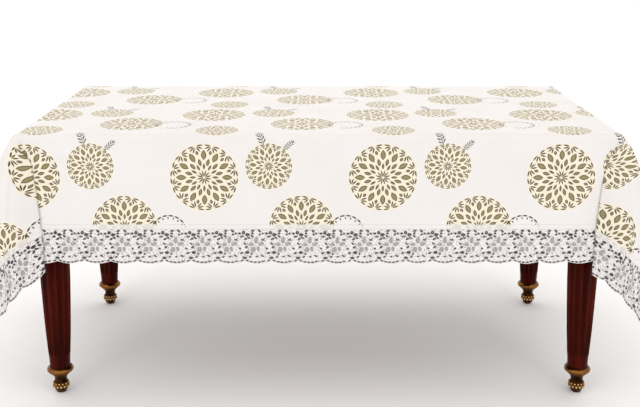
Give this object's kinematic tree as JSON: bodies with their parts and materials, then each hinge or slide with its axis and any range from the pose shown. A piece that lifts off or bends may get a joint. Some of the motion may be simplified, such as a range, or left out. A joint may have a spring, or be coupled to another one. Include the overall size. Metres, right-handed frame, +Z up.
{
  "type": "dining table with lace-edged tablecloth",
  "caption": "Rectangular dining table on turned legs with brass feet, covered by a glossy medallion-print tablecloth with a lace border.",
  "frame": {"origin": "on the floor under the middle of the table", "axes": "+X along the length of the table, -Y towards the front, +Z up"},
  "size_m": [1.7694, 1.0074, 0.7515],
  "materials": {
    "oilcloth": "glazed cream cotton oilcloth printed with olive-gold medallions, soft satin gloss",
    "lace": "white openwork lace with raised cords",
    "hem_tape": "white stitched hem tape",
    "mahogany": "dark red mahogany, polished gloss lacquer",
    "under_wood": "plain sawn hardwood, unfinished",
    "antique_brass": "cast antique brass with dark recesses",
    "zinc_steel": "zinc-plated steel fasteners"
  },
  "bodies": {
    "table": {"table_top": "mahogany", "apron_front": "mahogany", "apron_back": "mahogany", "apron_left": "mahogany", "apron_right": "mahogany", "leg_front_left": "mahogany", "leg_front_right": "mahogany", "leg_back_right": "mahogany", "leg_back_left": "mahogany", "brass_collar_front_left": "antique_brass", "brass_collar_front_right": "antique_brass", "brass_collar_back_right": "antique_brass", "brass_collar_back_left": "antique_brass", "brass_foot_front_left": "antique_brass", "brass_foot_front_right": "antique_brass", "brass_foot_back_right": "antique_brass", "brass_foot_back_left": "antique_brass", "corner_block_front_left": "under_wood", "corner_block_front_right": "under_wood", "corner_block_back_right": "under_wood", "corner_block_back_left": "under_wood", "hanger_bolt_front_left": "zinc_steel", "hanger_bolt_front_right": "zinc_steel", "hanger_bolt_back_right": "zinc_steel", "hanger_bolt_back_left": "zinc_steel", "bolt_nut_front_left": "zinc_steel", "bolt_nut_front_right": "zinc_steel", "bolt_nut_back_right": "zinc_steel", "bolt_nut_back_left": "zinc_steel", "top_screw_front_left_1": "zinc_steel", "top_screw_front_left_2": "zinc_steel", "top_screw_front_right_1": "zinc_steel", "top_screw_front_right_2": "zinc_steel", "top_screw_back_right_1": "zinc_steel", "top_screw_back_right_2": "zinc_steel", "top_screw_back_left_1": "zinc_steel", "top_screw_back_left_2": "zinc_steel"},
    "tablecloth": {"printed_cloth": "oilcloth", "lace_front": "lace", "lace_right": "lace", "lace_back": "lace", "lace_left": "lace", "hem_tape_front": "hem_tape", "hem_tape_right": "hem_tape", "hem_tape_back": "hem_tape", "hem_tape_left": "hem_tape"}
  },
  "joints": [
    {"name": "cloth_lift", "type": "slide", "parent": "table", "child": "tablecloth", "axis": [0, 0, 1], "range_m": [0, 0.56]}
  ]
}
